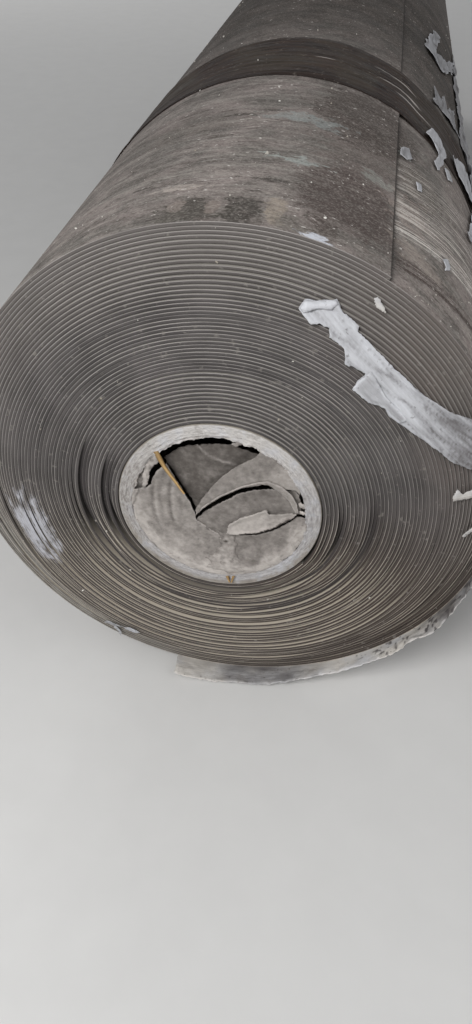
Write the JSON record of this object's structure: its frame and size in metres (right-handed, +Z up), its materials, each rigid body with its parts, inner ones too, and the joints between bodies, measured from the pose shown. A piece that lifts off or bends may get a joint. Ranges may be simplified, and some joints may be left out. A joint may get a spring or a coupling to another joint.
{
  "type": "roll of pvc roofing membrane",
  "caption": "Roll of grey roofing membrane wound on a cardboard core, telescoped at one end, with torn wrapper film.",
  "frame": {"origin": "on the floor under the middle of the roll, which lies on its side", "axes": "+Y along the roll from its telescoped end, +X to the right seen from that end, +Z up"},
  "size_m": [0.2379, 1.0647, 0.2389],
  "materials": {
    "pvc_sheet": "matt, dusty",
    "core_cardboard": "matt, worn",
    "torn_ply": "matt, creased",
    "stretch_film": "dull gloss, wrinkled",
    "white_film": "satin, dusty"
  },
  "bodies": {
    "root": {"membrane": "pvc_sheet", "core_tube": "core_cardboard", "core_paper": "torn_ply", "film_band": "stretch_film", "wrapper_tail": "white_film", "wrapper_strip": "white_film"}
  },
  "joints": []
}
